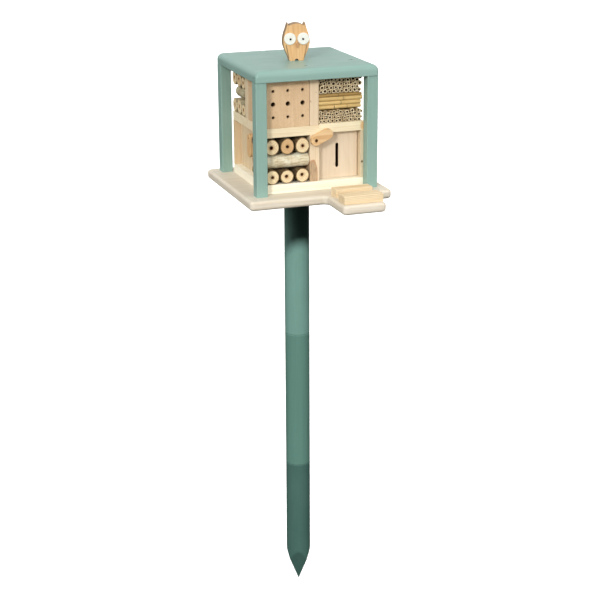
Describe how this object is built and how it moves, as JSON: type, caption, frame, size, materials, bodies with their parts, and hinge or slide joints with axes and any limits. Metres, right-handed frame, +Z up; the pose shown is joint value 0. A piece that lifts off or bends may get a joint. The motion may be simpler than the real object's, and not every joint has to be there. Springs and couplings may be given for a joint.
{
  "type": "insect hotel",
  "caption": "Insect hotel on a pointed garden stake: square roofed house with log, reed and drilled-block fillings, two latched door rooms, a landing ledge and an owl on the roof",
  "frame": {"origin": "on the stake's axis at the ground line, 200 mm above the stake's tip", "axes": "+Z up along the stake, -Y towards the front of the house, the side with the landing ledge, +X to the right seen from the front"},
  "size_m": [0.285, 0.378, 1.1988],
  "materials": {
    "roof_paint": "satin sage-green paint over brushed timber",
    "post_paint": "satin sage-green paint, grain showing through",
    "stake_stain": "matt sea-green wood stain",
    "washed_pine": "pale whitewashed pine, matt",
    "pine": "planed pale pine, bare",
    "pine_warm": "planed yellowish pine, bare",
    "door_panel": "sanded pale plywood",
    "turn_button": "planed tan softwood",
    "block_wood": "tan sawn block, end grain to the front",
    "log_wood": "branch wood with sawn end and brown bark",
    "birch_log": "pale smooth bark",
    "reed": "dry straw-coloured reed",
    "cane": "golden cane with smooth skin",
    "dowel_wood": "beech dowel",
    "steel": "zinc-plated steel",
    "owl_wood": "sanded tan wood",
    "owl_white": "off-white painted wood disc",
    "owl_black": "black paint",
    "owl_beak": "brown stained wood"
  },
  "bodies": {
    "hotel": {"stake_upper_section": "stake_stain", "stake_middle_section": "stake_stain", "stake_lower_section": "stake_stain", "stake_studs": "steel", "stake_top_screw": "steel", "post_screws": "steel", "core_screws": "steel", "front_door_pins": "steel", "left_door_pins": "steel", "side_wall_brad": "steel", "front_button_screw": "steel", "left_button_screw": "steel", "base_plate": "washed_pine", "bottom_board": "washed_pine", "landing_slat_front": "pine_warm", "landing_slat_back": "pine_warm", "front_left_post": "post_paint", "front_right_post": "post_paint", "back_left_post": "post_paint", "back_right_post": "post_paint", "roof": "roof_paint", "roof_dowels": "dowel_wood", "owl_dowels": "dowel_wood", "left_shelf": "pine", "right_shelf": "pine", "lower_divider": "pine", "upper_divider": "pine", "upper_cross_board": "pine", "lower_cross_board": "pine", "right_side_wall": "pine", "right_room_back_wall": "pine", "left_room_back_wall": "pine", "drilled_block": "block_wood", "front_log_lower_left": "log_wood", "front_log_lower_middle": "log_wood", "front_log_lower_right": "log_wood", "front_log_upper_left": "log_wood", "front_log_upper_middle": "log_wood", "front_log_upper_right": "log_wood", "left_log_lower_front": "log_wood", "left_log_lower_middle": "log_wood", "left_log_lower_back": "log_wood", "left_log_upper_front": "log_wood", "left_log_upper_middle": "log_wood", "left_log_upper_back": "log_wood", "front_cross_logs": "birch_log", "left_cross_logs": "birch_log", "lower_reeds": "reed", "upper_reeds": "reed", "middle_canes": "cane", "owl_body": "owl_wood", "owl_left_eye": "owl_white", "owl_right_eye": "owl_white", "owl_pupils": "owl_black", "owl_beak": "owl_beak"},
    "front_door": {"front_door": "door_panel"},
    "left_door": {"left_door": "door_panel"},
    "front_button": {"front_turn_button": "turn_button"},
    "left_button": {"left_turn_button": "turn_button"}
  },
  "joints": [
    {"name": "front_door_swing", "type": "hinge", "parent": "hotel", "child": "front_door", "pos_m": [0.0896, -0.087, 0.754], "axis": [0, 0, 1], "range_deg": [0, 9]},
    {"name": "left_door_swing", "type": "hinge", "parent": "hotel", "child": "left_door", "pos_m": [-0.083, 0.0816, 0.753], "axis": [0, 0, -1], "range_deg": [0, 90]},
    {"name": "front_button_turn", "type": "hinge", "parent": "hotel", "child": "front_button", "pos_m": [0, -0.1093, 0.7886], "axis": [0, 1, 0], "continuous": true},
    {"name": "left_button_turn", "type": "hinge", "parent": "hotel", "child": "left_button", "pos_m": [-0.0963, -0.01, 0.779], "axis": [1, 0, 0], "range_deg": [0, 100]}
  ]
}
